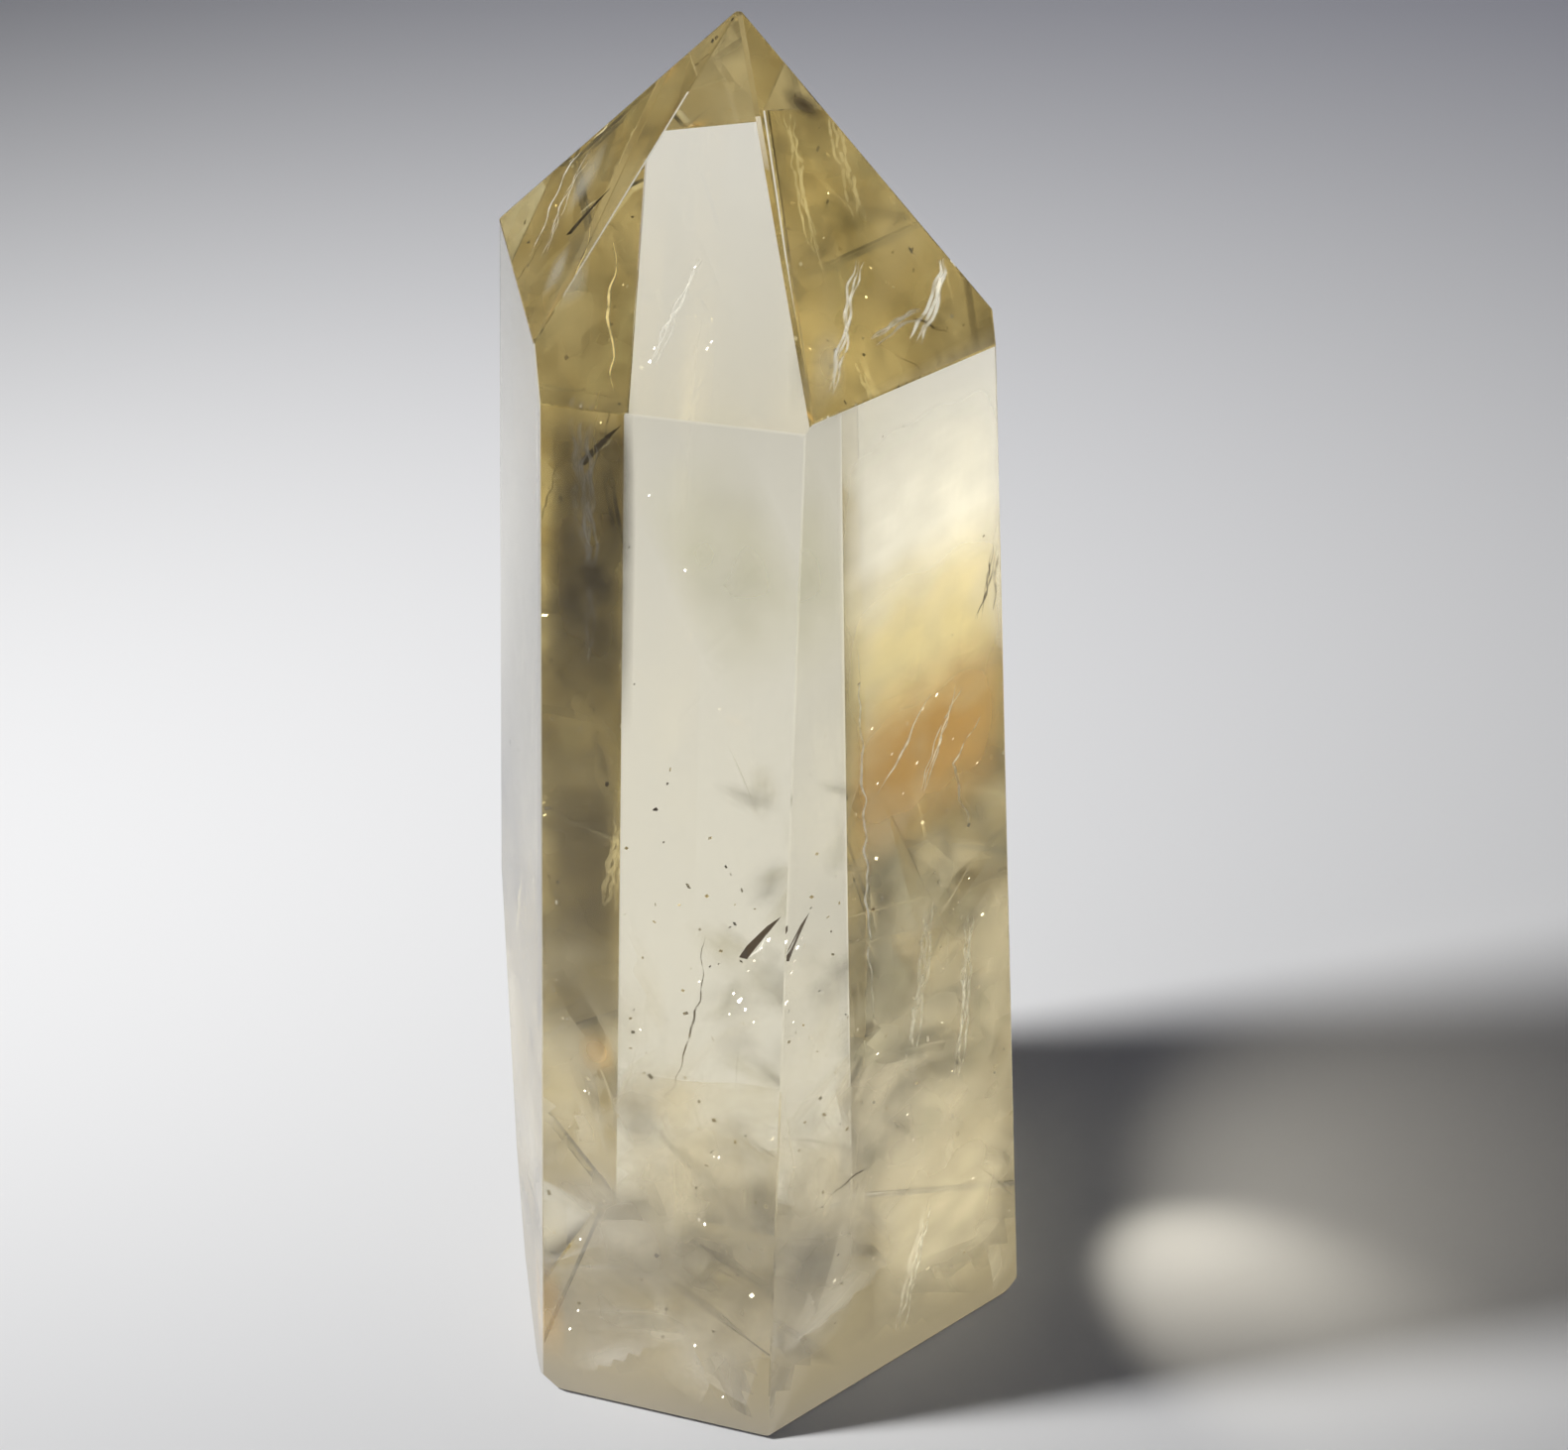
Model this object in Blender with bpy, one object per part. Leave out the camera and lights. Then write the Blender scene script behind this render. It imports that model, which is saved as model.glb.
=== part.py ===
"""Citrine crystal point: one polished tower of clear, pale yellow quartz that stands on its cut foot.

The tower is ground the way a lapidary works. It starts as a block, and every flat facet takes away all that stands
beyond it: six long prism facets that lean in towards the top, six tip facets that meet in the point, three trims
at the back of the foot, and last a narrow strip along each edge, so that none of them is sharp.
Units are metres, +Z is up, and the origin is under the middle of the crystal, on the surface it stands on.
"""

import math

import bmesh
import bpy
from mathutils import Vector

MM = 0.001

# Driving dimensions.
HEIGHT = 80.28 * MM  # from the foot to where the tip facets would meet
POINT = Vector((0.24 * MM, 0.27 * MM, HEIGHT))  # the point is a little off the middle of the foot
BLOCK_WIDTH = 60.0 * MM  # the rough block that the crystal is ground from
POINT_WEAR = 0.28 * MM  # how much of the point is rubbed away

# A facet's bearing is the way it faces, in degrees: 0 is the front (-Y), 90 the right (+X), 180 the back.
# Its lean is how far its outward side tips upwards, in degrees: 0 is upright, 90 is level, negative is undercut.

# Prism facets: (bearing, lean, distance from the middle of the foot to the facet, square to it).
PRISM_FACETS = {
    "left": (-79.7, 2.9, 14.02 * MM),
    "front_left": (-18.2, 2.9, 14.26 * MM),
    "front_right": (37.2, 0.5, 12.28 * MM),
    "right": (93.2, 2.7, 14.78 * MM),
    "back_right": (162.6, 1.7, 14.25 * MM),
    "back_left": (-136.0, 2.5, 14.36 * MM),
}

# Tip facets: (bearing, lean). All six run through the point.
TIP_FACETS = {
    "tip_left": (-79.4, 39.1),
    "tip_front_left": (-20.2, 36.4),
    "tip_front_right": (37.9, 38.8),
    "tip_right": (114.2, 32.9),
    "tip_back_right": (175.8, 41.4),
    "tip_back_left": (-134.8, 40.8),
}

# Undercut trims that bring the back left of the foot in, as PRISM_FACETS, from the top one down.
FOOT_TRIMS = {
    "foot_trim_top": (-98.0, -3.5, 12.88 * MM),
    "foot_trim_middle": (-102.0, -10.4, 11.42 * MM),
    "foot_trim_bottom": (-108.0, -31.2, 8.02 * MM),
}

# Widths of the narrow strips ground along the edges.
EDGE_STRIP = 0.10 * MM
FRONT_RIDGE_STRIP = 0.24 * MM  # the ridge between the two front tip facets is the most worn
FOOT_STRIP = 0.40 * MM
SHORTEST_STRIPPED_EDGE = 0.6 * MM

# Corners of the foot that are rubbed off: (the two prism facets that meet there, depth of the cut).
FOOT_CORNERS = {
    ("left", "front_left"): 0.60 * MM,
    ("front_right", "right"): 0.50 * MM,
}

SAME_POINT = 0.0005 * MM


def facing(bearing, lean):
    """Outward unit normal of a facet."""
    turn = math.radians(bearing)
    tip = math.radians(lean)
    return Vector((math.sin(turn) * math.cos(tip), -math.cos(turn) * math.cos(tip), math.sin(tip)))


def crystal_facets():
    """Every flat facet by name, as (outward normal, a point on it)."""
    facets = {"foot": (Vector((0, 0, -1)), Vector((0, 0, 0)))}
    for name, (bearing, lean, distance) in (PRISM_FACETS | FOOT_TRIMS).items():
        normal = facing(bearing, lean)
        facets[name] = (normal, normal * distance)
    for name, (bearing, lean) in TIP_FACETS.items():
        facets[name] = (facing(bearing, lean), POINT)
    return facets


def rough_block():
    """The block before grinding, taller and wider than the crystal."""
    stone = bmesh.new()
    bmesh.ops.create_cube(stone, size=1.0)
    bmesh.ops.scale(stone, vec=(BLOCK_WIDTH, BLOCK_WIDTH, 2 * HEIGHT), verts=stone.verts)
    bmesh.ops.translate(stone, vec=(0, 0, HEIGHT / 2), verts=stone.verts)
    return stone


def grind(stone, normal, point):
    """Take away all that stands beyond a plane, and close the cut with one flat face."""
    everything = stone.verts[:] + stone.edges[:] + stone.faces[:]
    cut = bmesh.ops.bisect_plane(
        stone, geom=everything, dist=SAME_POINT, plane_co=point, plane_no=normal, clear_outer=True
    )
    rim = [piece for piece in cut["geom_cut"] if isinstance(piece, bmesh.types.BMEdge)]
    open_rim = [edge for edge in rim if edge.is_boundary]
    if open_rim:
        bmesh.ops.edgeloop_fill(stone, edges=open_rim)


def strip_width(edge):
    """How wide a strip the edge gets: wide round the foot, wider on the worn front ridge than elsewhere."""
    if any(face.normal.z < -0.99 for face in edge.link_faces):
        return FOOT_STRIP
    ridge = [facing(*TIP_FACETS[name]) for name in ("tip_front_left", "tip_front_right")]
    on_ridge = all(any(face.normal.dot(side) > 0.9999 for side in ridge) for face in edge.link_faces)
    return FRONT_RIDGE_STRIP if on_ridge else EDGE_STRIP


def edge_strips(stone):
    """The planes that break the stone's edges, as (outward normal, a point on the plane)."""
    stone.normal_update()
    strips = []
    for edge in stone.edges:
        if edge.calc_length() < SHORTEST_STRIPPED_EDGE:
            continue
        one, other = (face.normal for face in edge.link_faces)
        half_angle = (math.pi - one.angle(other)) / 2
        depth = strip_width(edge) / (2 * math.tan(half_angle))
        outwards = (one + other).normalized()
        strips.append((outwards, edge.verts[0].co - outwards * depth))
    return strips


def corner_cuts(facets):
    """The planes that rub off the named corners of the foot."""
    foot_normal, foot_point = facets["foot"]
    cuts = []
    for names, depth in FOOT_CORNERS.items():
        (one, on_one), (other, on_other) = (facets[name] for name in names)
        corner = meeting_point((one, on_one), (other, on_other), (foot_normal, foot_point))
        outwards = (one + other + foot_normal).normalized()
        cuts.append((outwards, corner - outwards * depth))
    return cuts


def meeting_point(*planes):
    """Where three planes, each (normal, a point on it), meet."""
    (a, on_a), (b, on_b), (c, on_c) = planes
    sides = b.cross(c) * a.dot(on_a) + c.cross(a) * b.dot(on_b) + a.cross(b) * c.dot(on_c)
    return sides / a.dot(b.cross(c))


def stand_on_origin(stone):
    """Shift the stone until the origin is under the middle of its outline, level with its foot."""
    corners = [vert.co for vert in stone.verts]
    low = Vector(min(corner[axis] for corner in corners) for axis in range(3))
    high = Vector(max(corner[axis] for corner in corners) for axis in range(3))
    middle = (low + high) / 2
    bmesh.ops.translate(stone, vec=(-middle.x, -middle.y, -low.z), verts=stone.verts)


def ground_crystal():
    """The finished crystal as a mesh."""
    facets = crystal_facets()
    stone = rough_block()
    for normal, point in facets.values():
        grind(stone, normal, point)
    bmesh.ops.remove_doubles(stone, verts=stone.verts, dist=SAME_POINT)
    finish = edge_strips(stone) + corner_cuts(facets)
    finish.append((Vector((0, 0, 1)), POINT - Vector((0, 0, POINT_WEAR))))
    for normal, point in finish:
        grind(stone, normal, point)
    bmesh.ops.remove_doubles(stone, verts=stone.verts, dist=SAME_POINT)
    bmesh.ops.recalc_face_normals(stone, faces=stone.faces)
    stand_on_origin(stone)
    mesh = bpy.data.meshes.new("citrine_crystal")
    stone.to_mesh(mesh)
    stone.free()
    return mesh


def citrine():
    """Clear, pale yellow quartz with a polish."""
    material = bpy.data.materials.new("citrine")
    material.use_nodes = True
    surface = material.node_tree.nodes["Principled BSDF"]
    surface.inputs["Base Color"].default_value = (0.88, 0.83, 0.66, 1.0)
    surface.inputs["Roughness"].default_value = 0.03
    surface.inputs["Metallic"].default_value = 0.0
    surface.inputs["IOR"].default_value = 1.55
    surface.inputs["Transmission Weight"].default_value = 0.85
    return material


def main():
    for thing in list(bpy.data.objects):
        bpy.data.objects.remove(thing, do_unlink=True)
    collection = bpy.data.collections.new("citrine crystal point")
    bpy.context.scene.collection.children.link(collection)
    crystal = bpy.data.objects.new("citrine_crystal", ground_crystal())
    crystal.data.materials.append(citrine())
    collection.objects.link(crystal)


main()
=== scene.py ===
# %% [markdown]
# # Citrine crystal point
# This lesson dresses one polished tower of pale yellow quartz. The solid itself comes from the packed
# model, which is the frame: it says how big the stone is and where it stands, and nothing here may move
# or resize it. All lengths below are metres, and `MM` keeps the small ones readable.

import math

import bmesh
import bpy
from mathutils import Matrix, Vector, noise


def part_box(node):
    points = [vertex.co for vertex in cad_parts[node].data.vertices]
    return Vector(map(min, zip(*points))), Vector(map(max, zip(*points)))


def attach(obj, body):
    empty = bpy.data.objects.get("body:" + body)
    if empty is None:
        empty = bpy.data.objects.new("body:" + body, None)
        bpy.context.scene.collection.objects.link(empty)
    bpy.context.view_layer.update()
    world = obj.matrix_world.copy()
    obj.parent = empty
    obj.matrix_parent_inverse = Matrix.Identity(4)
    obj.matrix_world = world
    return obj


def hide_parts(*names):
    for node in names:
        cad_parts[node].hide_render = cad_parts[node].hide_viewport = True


MM = 0.001
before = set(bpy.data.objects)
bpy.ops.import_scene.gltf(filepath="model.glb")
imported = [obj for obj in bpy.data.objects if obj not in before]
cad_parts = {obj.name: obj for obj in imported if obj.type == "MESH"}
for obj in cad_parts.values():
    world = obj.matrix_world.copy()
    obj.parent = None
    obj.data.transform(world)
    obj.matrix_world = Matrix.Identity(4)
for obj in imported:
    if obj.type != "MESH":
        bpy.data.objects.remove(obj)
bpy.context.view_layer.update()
NODE = "citrine_crystal"
low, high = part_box(NODE)
print("crystal box in mm:", [round(side / MM, 2) for side in high - low])

# %% [markdown]
# ## The camera
# A small stone is looked at from close by, so its perspective is strong: the front edges lean together
# towards the foot. The camera is set by where it stands, how far it looks down, and a small turn and
# tilt, because a hand-held camera is never quite level. The lens is worked out from the picture's width
# in pixels.

# %% Place the camera
CAMERA_PLACE = Vector((-0.50, -156.68, 160.76)) * MM
LOOK_DOWN, LOOK_RIGHT, TILT = 38.00, 0.682, 0.672  # degrees
FOCAL_PIXELS, PICTURE_WIDTH, SENSOR_WIDTH = 3800.3, 1581, 36.0

camera_data = bpy.data.cameras.new("camera")
camera_data.sensor_width = SENSOR_WIDTH
camera_data.lens = SENSOR_WIDTH * FOCAL_PIXELS / PICTURE_WIDTH
camera_data.clip_start = 5 * MM
camera_data.clip_end = 20.0
camera = bpy.data.objects.new("camera", camera_data)
bpy.context.scene.collection.objects.link(camera)
down, turn = math.radians(LOOK_DOWN), math.radians(LOOK_RIGHT)
ahead = Vector((math.sin(turn) * math.cos(down), math.cos(turn) * math.cos(down), -math.sin(down)))
facing = ahead.to_track_quat("-Z", "Y").to_matrix() @ Matrix.Rotation(-math.radians(TILT), 3, "Z")
camera.rotation_euler = facing.to_euler()
camera.location = CAMERA_PLACE
bpy.context.scene.camera = camera
print("lens in mm:", round(camera_data.lens, 2))

# %% [markdown]
# ## How far a ray may travel
# Inside cut quartz a ray of light is thrown from facet to facet many times before it finds a way out.
# Cycles counts such a mirror bounce inside glass as a glossy one, and with the usual limit of four the
# tip would turn black. So the limits are raised. So is the number of see-through layers, because each
# thin veil inside the stone is one, and a ray that runs out of them turns black too. The diffuse limit
# stays low: light that has been scattered more than once has lost its aim, and costs much time.
#
# The plain "Standard" view transform keeps whites white and the pale yellow clean.

# %% Set the ray limits and the view transform
BOUNCES = 12
LAYERS = 36  # see-through ones
DIFFUSE_BOUNCES = 1
scene = bpy.context.scene
scene.cycles.max_bounces = BOUNCES
scene.cycles.glossy_bounces = BOUNCES
scene.cycles.transmission_bounces = BOUNCES
scene.cycles.transparent_max_bounces = LAYERS
scene.cycles.diffuse_bounces = DIFFUSE_BOUNCES
scene.view_settings.view_transform = "Standard"
scene.view_settings.exposure = 0.0
print("a ray may bounce", BOUNCES, "times and pass", LAYERS, "veils")

# %% [markdown]
# ## Floor
# The stone stands on a plain, pale, matt surface that runs on far behind it, so one big square is all it
# takes. What matters is that it is nearly white: most of what shows inside the crystal is this floor,
# bent by the facets.

# %% Floor
FLOOR_HALF_WIDTH = 3.0
FLOOR_COLOUR = (0.80, 0.80, 0.80)
FLOOR_ROUGHNESS = 0.7


def plain_material(name, colour, roughness, metallic=0.0):
    """A Principled material of one colour."""
    material = bpy.data.materials.new(name)
    material.use_nodes = True
    surface = material.node_tree.nodes["Principled BSDF"]
    surface.inputs["Base Color"].default_value = (*colour, 1.0)
    surface.inputs["Roughness"].default_value = roughness
    surface.inputs["Metallic"].default_value = metallic
    return material


def object_from_bmesh(name, shape, material):
    """Turn a bmesh into an object in the scene."""
    mesh = bpy.data.meshes.new(name)
    shape.to_mesh(mesh)
    shape.free()
    mesh.materials.append(material)
    thing = bpy.data.objects.new(name, mesh)
    bpy.context.scene.collection.objects.link(thing)
    return thing


square = bmesh.new()
bmesh.ops.create_grid(square, x_segments=1, y_segments=1, size=FLOOR_HALF_WIDTH)
floor = object_from_bmesh("floor", square, plain_material("floor", FLOOR_COLOUR, FLOOR_ROUGHNESS))
print("floor is", 2 * FLOOR_HALF_WIDTH, "m wide")

# %% [markdown]
# ## Light
# One soft lamp stands at the left and a little behind, rather low, so the shadow falls to the right, and
# its pool of light fades out towards the back. The rest is a dim, slightly violet sky that opens the
# shadow a little, and a weak blue light from a window behind.
#
# A clear stone also gathers the light that falls on it, and throws it on the floor within its own shadow.
# Tracing that takes very long, so two tiny lamps just outside the right facet throw the streak and the
# glow instead.

# %% The lamp
LAMP_RADIUS = 0.07
KEY_PLACE, KEY_AIM = (-0.592, -0.060, 0.460), (-0.036, 0.041, 0.0)
KEY_POWER, KEY_CONE = 38.0, 20.0  # watts, degrees


def spot(name, place, aim, power, cone):
    """A round soft lamp that shines from one place at another. The cone is in degrees."""
    lamp = bpy.data.lights.new(name, "SPOT")
    lamp.energy = power
    lamp.spot_size = math.radians(cone)
    lamp.spot_blend = 1.0
    lamp.shadow_soft_size = LAMP_RADIUS
    thing = bpy.data.objects.new(name, lamp)
    thing.location = place
    thing.rotation_mode = "QUATERNION"
    thing.rotation_quaternion = (Vector(aim) - Vector(place)).to_track_quat("-Z", "Y")
    bpy.context.scene.collection.objects.link(thing)
    return thing


key = spot("key", KEY_PLACE, KEY_AIM, KEY_POWER, KEY_CONE)
print("lamp distance in m:", round(key.location.length, 2))

# %% The gathered light
# name: (place and aim in millimetres, watts, cone in degrees)
GATHERED = {
    "gathered streak": ((15.2, 5.5, 13.0), (27.0, -5.5, 0.0), 0.011, 50.0),
    "gathered glow": ((15.4, -1.0, 30.0), (40.0, 4.0, 0.0), 0.016, 62.0),
}
GATHERED_COLOUR = (1.0, 0.94, 0.80)
GATHERED_RADIUS = 1.0 * MM
for name, (place, aim, power, cone) in GATHERED.items():
    gathered = spot(name, Vector(place) * MM, Vector(aim) * MM, power, cone)
    gathered.data.shadow_soft_size = GATHERED_RADIUS
    gathered.data.color = GATHERED_COLOUR
print("gathered lights:", len(GATHERED))

# %% Window light and sky
WINDOW_PLACE, WINDOW_AIM = (0.25, 0.60, 0.50), (0.08, 0.32, 0.0)
WINDOW_POWER, WINDOW_CONE = 2.0, 36.0
WINDOW_COLOUR = (0.35, 0.38, 1.0)
SKY_COLOUR, SKY_STRENGTH = (0.80, 0.83, 1.0), 0.06

window = spot("window", WINDOW_PLACE, WINDOW_AIM, WINDOW_POWER, WINDOW_CONE)
window.data.color = WINDOW_COLOUR
world = bpy.data.worlds.new("studio")
world.use_nodes = True
sky = world.node_tree.nodes["Background"]
sky.inputs["Color"].default_value = (*SKY_COLOUR, 1.0)
sky.inputs["Strength"].default_value = SKY_STRENGTH
bpy.context.scene.world = world
print("sky strength:", SKY_STRENGTH)

# %% [markdown]
# ## The polished body
# The body is the solid of the frame itself, so its facets keep their exact places. The frame hands it
# over as loose triangles. They are merged, and the flat ones joined to one polygon per facet, because
# glass needs a closed skin.
#
# Quartz bends light by 1.55. The yellow comes from the depth of stone the light has crossed, not from the
# skin: a Volume Absorption node takes away blue along the way, so short paths look almost clear and the
# long ones, those that zigzag down from the tip, turn ochre.
#
# Cycles lets no lamp shine through glass directly, which would leave the cloud inside the stone unlit.
# The Light Path node helps: a ray that looks for the lamp from inside the stone, and so meets the back of
# the skin, is let out. One that comes from outside meets its front and is stopped, so the stone still
# throws its full shadow.
#
# The body is hidden from diffuse rays. The few that the floor sends through it would find the lamp only
# now and then, and leave bright specks in the shadow.

# %% Clear quartz
QUARTZ_IOR = 1.55
LOSS_PER_METRE = (1.8, 3.6, 10.8)  # how fast red, green and blue fade on the way through the stone
LOSS_DENSITY = 20.0


def clear_citrine():
    """Polished clear quartz that turns yellow with depth."""
    material = bpy.data.materials.new("clear citrine")
    material.use_nodes = True
    tree = material.node_tree
    surface = tree.nodes["Principled BSDF"]
    surface.inputs["Base Color"].default_value = (1.0, 1.0, 1.0, 1.0)
    surface.inputs["Roughness"].default_value = 0.0
    surface.inputs["IOR"].default_value = QUARTZ_IOR
    surface.inputs["Transmission Weight"].default_value = 1.0
    path = tree.nodes.new("ShaderNodeLightPath")
    side = tree.nodes.new("ShaderNodeNewGeometry")
    lamp_ray = tree.nodes.new("ShaderNodeMath")
    lamp_ray.operation = "MULTIPLY"
    tree.links.new(path.outputs["Is Shadow Ray"], lamp_ray.inputs[0])
    tree.links.new(side.outputs["Backfacing"], lamp_ray.inputs[1])
    open_skin = tree.nodes.new("ShaderNodeBsdfTransparent")
    skin = tree.nodes.new("ShaderNodeMixShader")
    tree.links.new(lamp_ray.outputs[0], skin.inputs[0])
    tree.links.new(surface.outputs[0], skin.inputs[1])
    tree.links.new(open_skin.outputs[0], skin.inputs[2])
    output = tree.nodes["Material Output"]
    tree.links.new(skin.outputs[0], output.inputs["Surface"])
    depth = tree.nodes.new("ShaderNodeVolumeAbsorption")
    kept = [1.0 - loss / LOSS_DENSITY for loss in LOSS_PER_METRE]
    depth.inputs["Color"].default_value = (*kept, 1.0)
    depth.inputs["Density"].default_value = LOSS_DENSITY
    tree.links.new(depth.outputs[0], output.inputs["Volume"])
    return material


clear_quartz = clear_citrine()
print("material:", clear_quartz.name)

# %% The polished body
SAME_CORNER = 0.001 * MM
SAME_FACET = 0.001  # radians

skin_mesh = bmesh.new()
skin_mesh.from_mesh(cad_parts[NODE].data)
bmesh.ops.remove_doubles(skin_mesh, verts=skin_mesh.verts, dist=SAME_CORNER)
bmesh.ops.dissolve_limit(skin_mesh, angle_limit=SAME_FACET, verts=skin_mesh.verts, edges=skin_mesh.edges)
open_edges = sum(edge.is_boundary for edge in skin_mesh.edges)
print("facets and strips:", len(skin_mesh.faces), "open edges:", open_edges)
crystal = object_from_bmesh("polished_crystal", skin_mesh, clear_quartz)
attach(crystal, "root")
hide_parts(NODE)
crystal.visible_diffuse = False

# %% [markdown]
# ## A helper for node trees
# What follows repeats many times over, so it is grown by Geometry Nodes. The trees are built in code, and
# this small helper adds a node, fills its sockets with numbers or with the output of another node, and
# hands the node back.

# %% Node helper
class Nodes:
    """Adds nodes to one tree, each with its inputs already filled or wired."""

    def __init__(self, tree):
        self.tree = tree

    def add(self, kind, inputs=None, **settings):
        node = self.tree.nodes.new(kind)
        for name, value in settings.items():
            setattr(node, name, value)
        for key_name, value in (inputs or {}).items():
            self.fill(node.inputs[key_name], value)
        return node

    def fill(self, socket, value):
        if isinstance(value, bpy.types.NodeSocket):
            self.tree.links.new(value, socket)
        else:
            socket.default_value = value

    def math(self, operation, *values):
        return self.add("ShaderNodeMath", dict(enumerate(values)), operation=operation).outputs[0]

    def vector(self, operation, *values):
        return self.add("ShaderNodeVectorMath", dict(enumerate(values)), operation=operation).outputs[0]

    def scaled(self, vector, factor):
        inputs = {0: vector, "Scale": factor}
        return self.add("ShaderNodeVectorMath", inputs, operation="SCALE").outputs[0]

    def height(self, vector):
        return self.add("ShaderNodeSeparateXYZ", {0: vector}).outputs["Z"]

    def noise(self, scale, detail, output=0):
        return self.add("ShaderNodeTexNoise", {"Scale": scale, "Detail": detail}).outputs[output]

    def store(self, geometry, name, value):
        inputs = {"Geometry": geometry, "Name": name, "Value": value}
        kind = "GeometryNodeStoreNamedAttribute"
        return self.add(kind, inputs, data_type="FLOAT", domain="POINT").outputs[0]

    def without(self, geometry, selection):
        inputs = {"Geometry": geometry, "Selection": selection}
        return self.add("GeometryNodeDeleteGeometry", inputs, domain="POINT").outputs[0]

    def random(self, smallest, largest, seed, salt):
        is_vector = isinstance(smallest, tuple) or getattr(smallest, "type", "") == "VECTOR"
        kind, first = ("FLOAT_VECTOR", 0) if is_vector else ("FLOAT", 2)
        node = self.add("FunctionNodeRandomValue", data_type=kind)
        self.fill(node.inputs[first], smallest)
        self.fill(node.inputs[first + 1], largest)
        self.fill(node.inputs["Seed"], self.math("ADD", seed, float(salt)))
        return node.outputs[0 if is_vector else 1]

    def smooth(self, value, start, end):
        inputs = {"Value": value, "From Min": start, "From Max": end}
        return self.add("ShaderNodeMapRange", inputs, interpolation_type="SMOOTHSTEP").outputs[0]


print("node helper ready")

# %% [markdown]
# Three more helpers serve every tree. The first starts one with its named inputs. The second finds how
# deep a place lies in the stone: it shoots a ray upwards, and if the ray leaves through a face that looks
# up, the place is inside. The third runs a tree on the crystal's body. It sets each input by its socket's
# identifier, turns the result into a plain mesh and takes the modifier off again, so what is left is an
# ordinary object.

# %% Tree helpers
def new_tree(name, sockets):
    """A Geometry Nodes tree with one geometry output and the named inputs."""
    tree = bpy.data.node_groups.new(name, "GeometryNodeTree")
    tree.interface.new_socket("Geometry", in_out="OUTPUT", socket_type="NodeSocketGeometry")
    for socket_name, kind in sockets.items():
        tree.interface.new_socket(socket_name, in_out="INPUT", socket_type="NodeSocket" + kind)
    return tree, Nodes(tree)


def depth_inside(nodes, body):
    """How deep a place lies under the skin of the body, negative outside it."""
    ray_inputs = {"Target Geometry": body, "Ray Direction": (0, 0, 1), "Ray Length": 1.0}
    ray = nodes.add("GeometryNodeRaycast", ray_inputs)
    upward = nodes.height(ray.outputs["Hit Normal"])
    leaves = nodes.math("MULTIPLY", ray.outputs["Is Hit"], nodes.math("GREATER_THAN", upward, 0.0))
    sign = nodes.math("MULTIPLY_ADD", leaves, 2.0, -1.0)
    gap = nodes.add("GeometryNodeProximity", {"Geometry": body}).outputs["Distance"]
    return nodes.math("MULTIPLY", sign, gap)


def grow(name, tree, values):
    """Run a tree on the crystal's body and keep what it grows as a plain mesh."""
    thing = bpy.data.objects.new(name, crystal.data)
    bpy.context.scene.collection.objects.link(thing)
    modifier = thing.modifiers.new("grow", "NODES")
    modifier.node_group = tree
    for socket in tree.interface.items_tree:
        if socket.in_out == "INPUT" and socket.name in values:
            modifier[socket.identifier] = values[socket.name]
    graph = bpy.context.evaluated_depsgraph_get()
    grown = bpy.data.meshes.new_from_object(
        thing.evaluated_get(graph), preserve_all_data_layers=True, depsgraph=graph
    )
    thing.modifiers.clear()
    thing.data = grown
    grown.name = name
    thing.visible_shadow = False
    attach(thing, "root")
    print(name, "has", len(grown.polygons), "faces")
    return thing


print("tree helpers ready")

# %% [markdown]
# ## Wisps
# The foot of the stone is milky: countless tiny bubbles, too small to see one by one, scatter the light.
# It could be a scattering volume, but that is slow to render and can't travel to other programs. So the
# cloud is built from a few hundred soft-edged, crumpled sheets, each mostly see-through. Where many lie
# behind one another the stone turns milky, where few do it stays clear, and every long path that ends in
# the cloud brings its light back.
#
# The tree works in four steps, each built by its own small function. First it scatters points in a box
# and drops those outside the stone.

# %% Points inside the stone
WISP_SOCKETS = {
    "Body": "Geometry",
    "Count": "Int",
    "Lowest": "Vector",
    "Highest": "Vector",
    "Smallest": "Float",
    "Largest": "Float",
    "Rows": "Int",
    "Tilt": "Float",
    "Crumple": "Float",
    "Grain": "Float",
    "Fade": "Float",
    "Seed": "Int",
    "Material": "Material",
}
THINNEST_COVER = 0.12 * MM  # no grown piece comes nearer to the skin than this


def points_inside(nodes, given):
    """Random points in the box, without those outside the stone."""
    places = nodes.random(given["Lowest"], given["Highest"], given["Seed"], 1)
    point_inputs = {"Count": given["Count"], "Position": places}
    points = nodes.add("GeometryNodePoints", point_inputs).outputs[0]
    outside = nodes.math("LESS_THAN", depth_inside(nodes, given["Body"]), THINNEST_COVER)
    return nodes.without(points, outside)


print("the tree has", len(WISP_SOCKETS), "inputs")

# %% [markdown]
# Next it makes one small flat grid, which remembers how near each corner is to its middle, and places it
# on each point, turned every way and of a random size.

# %% Scattered sheets
SHEET_RIM, SHEET_CORE = 0.5, 0.05  # how far from its middle a sheet of width 1 is clear, and full
LENGTH_TO_WIDTH = (0.8, 1.8)


def soft_sheet(nodes, rows):
    """A flat grid of width 1 that stores how soft it is at each corner."""
    sheet_inputs = {"Size X": 1.0, "Size Y": 1.0, "Vertices X": rows, "Vertices Y": rows}
    sheet = nodes.add("GeometryNodeMeshGrid", sheet_inputs).outputs["Mesh"]
    here = nodes.add("GeometryNodeInputPosition").outputs[0]
    from_middle = nodes.add("ShaderNodeVectorMath", {0: here}, operation="LENGTH").outputs["Value"]
    return nodes.store(sheet, "soft", nodes.smooth(from_middle, SHEET_RIM, SHEET_CORE))


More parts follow.
